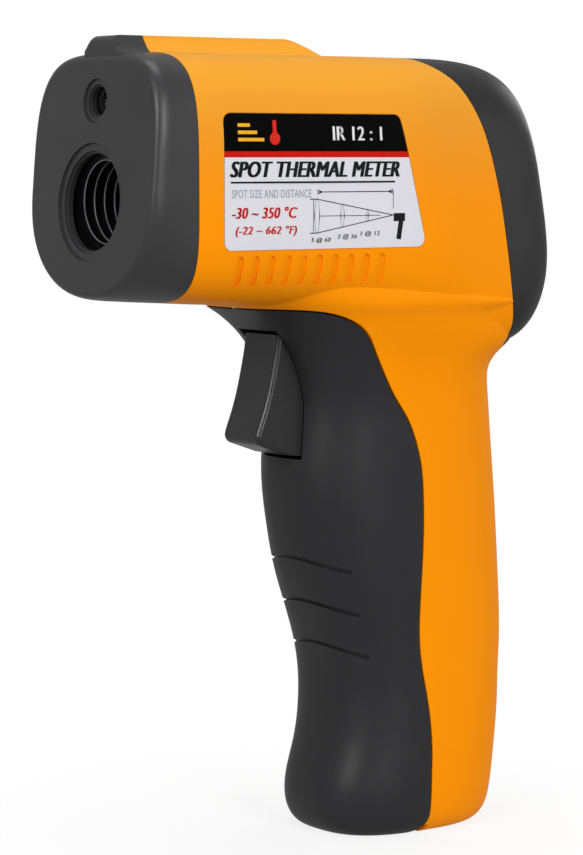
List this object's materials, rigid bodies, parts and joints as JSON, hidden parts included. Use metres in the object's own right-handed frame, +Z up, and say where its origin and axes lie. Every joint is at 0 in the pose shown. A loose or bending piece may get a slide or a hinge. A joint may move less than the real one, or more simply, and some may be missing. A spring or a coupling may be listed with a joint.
{
  "type": "infrared thermometer",
  "caption": "Pistol-grip infrared thermometer: two-part housing, nose and display bezels, trigger, two display keys and a swing-down battery door.",
  "frame": {"origin": "centre of the overall box in plan, on the flat base of the grip", "axes": "+Z up through the grip, -X along the line of sight out of the muzzle, +X towards the display, Y across"},
  "size_m": [0.1004, 0.0432, 0.1531],
  "materials": {
    "shell_orange": "fine satin moulding",
    "bezel_grey": "fine spark texture",
    "grip_grey": "soft satin",
    "steel": "bright",
    "board_green": "solder mask",
    "black_plastic": "matt black",
    "infrared_glass": "dark infrared lens",
    "nickel_can": "nickel plate",
    "brass": "turned brass",
    "clear": "clear acrylic",
    "lcd_grey": "liquid crystal panel",
    "white_plastic": "light guide",
    "key_rubber": "moulded rubber",
    "battery_can": "printed steel can",
    "lead_red": "insulated wire",
    "lead_grey": "insulated wire",
    "label_film": "printed polyester film"
  },
  "bodies": {
    "root": {"left_housing": "shell_orange", "right_housing": "shell_orange", "nose_bezel": "bezel_grey", "rear_bezel": "bezel_grey", "trigger_pin": "steel", "trigger_spring": "steel", "trigger_board": "board_green", "trigger_switch": "black_plastic", "optics_barrel": "black_plastic", "stray_light_sleeve": "black_plastic", "infrared_lens": "infrared_glass", "lens_ring": "black_plastic", "sensor_holder": "black_plastic", "sensor_can": "nickel_can", "sensor_board": "board_green", "laser_module": "brass", "laser_lens": "clear", "lcd_window": "clear", "lcd_panel": "lcd_grey", "backlight": "white_plastic", "key_switches": "black_plastic", "main_board": "board_green", "board_chips": "black_plastic", "buzzer": "black_plastic", "board_screws": "steel", "battery": "battery_can", "battery_snap": "black_plastic", "battery_leads": "lead_red", "sensor_leads": "lead_grey", "laser_leads": "lead_red", "trigger_leads": "lead_grey", "housing_screws": "steel", "left_label": "label_film", "right_label": "label_film"},
    "battery_door": {"battery_door": "grip_grey"},
    "trigger": {"trigger": "grip_grey"},
    "left_key": {"left_key": "key_rubber"},
    "right_key": {"right_key": "key_rubber"}
  },
  "joints": [
    {"name": "battery_door_hinge", "type": "hinge", "parent": "root", "child": "battery_door", "pos_m": [0.014, 0, 0.004], "axis": [0, -1, 0], "range_deg": [0, 70]},
    {"name": "trigger_pivot", "type": "hinge", "parent": "root", "child": "trigger", "pos_m": [-0.0035, 0, 0.096], "axis": [0, -1, 0], "range_deg": [0, 8], "stiffness_Nm_per_rad": 0.15, "springref_deg": -8.59, "deforming": ["trigger_spring"]},
    {"name": "left_key_press", "type": "slide", "parent": "root", "child": "left_key", "axis": [-0.9833, 0, -0.1822], "range_m": [0, 0.0008], "stiffness_N_per_m": 400},
    {"name": "right_key_press", "type": "slide", "parent": "root", "child": "right_key", "axis": [-0.9833, 0, -0.1822], "range_m": [0, 0.0008], "stiffness_N_per_m": 400}
  ]
}
